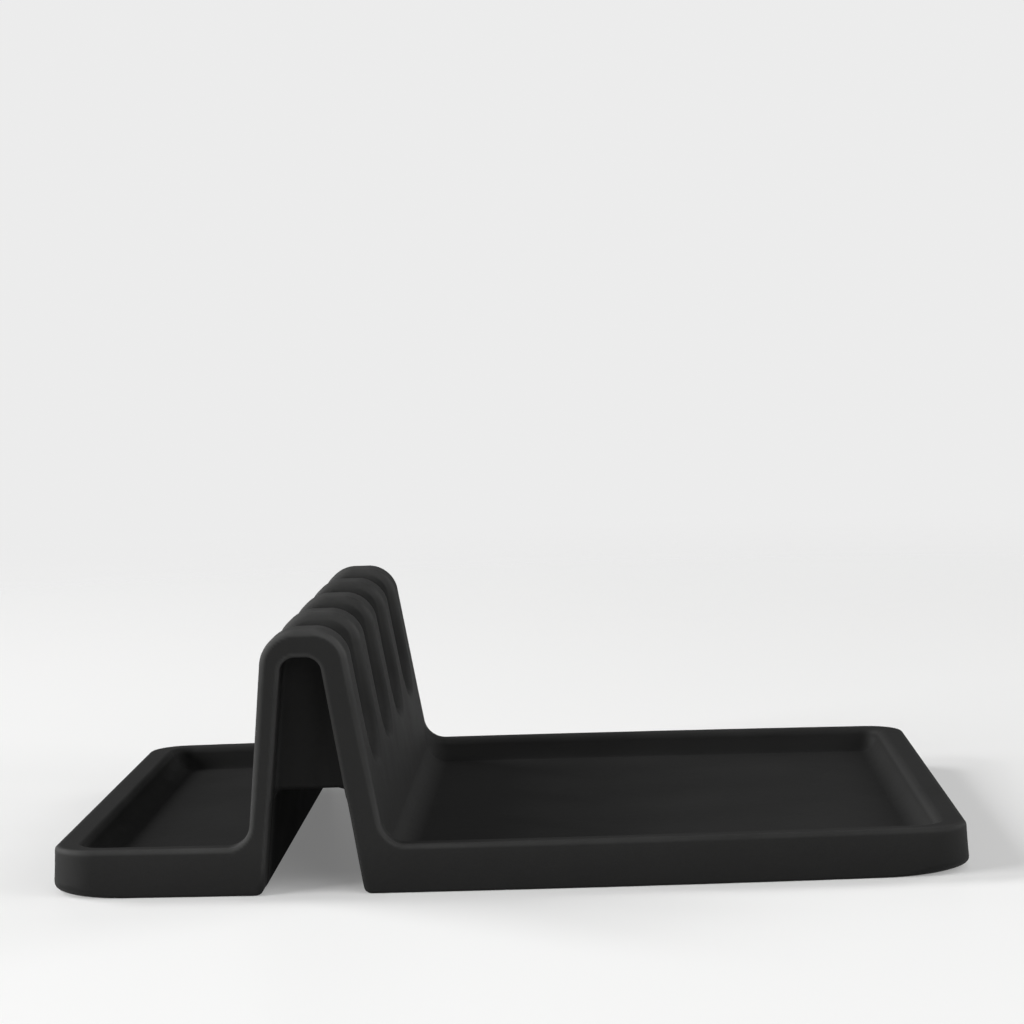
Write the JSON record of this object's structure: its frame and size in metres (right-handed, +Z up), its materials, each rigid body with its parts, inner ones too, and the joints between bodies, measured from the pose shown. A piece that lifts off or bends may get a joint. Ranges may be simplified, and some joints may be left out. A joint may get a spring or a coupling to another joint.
{
  "type": "utensil rest",
  "caption": "Soft silicone stove-top utensil rest: slotted upright dividers on a hollow bridge hold handles, with a small handle tray on one side and a wide drip tray on the other.",
  "frame": {"origin": "on the counter plane, under the middle of the footprint", "axes": "+Z up; +X along the length, from the handle tray to the drip tray; Y across the slots"},
  "size_m": [0.1926, 0.152, 0.0548],
  "materials": {
    "silicone": "matte charcoal moulded silicone"
  },
  "bodies": {
    "root": {"handle_tray": "silicone", "drip_tray": "silicone", "bridge": "silicone", "divider_1": "silicone", "divider_2": "silicone", "divider_3": "silicone", "divider_4": "silicone", "divider_5": "silicone"}
  },
  "joints": []
}
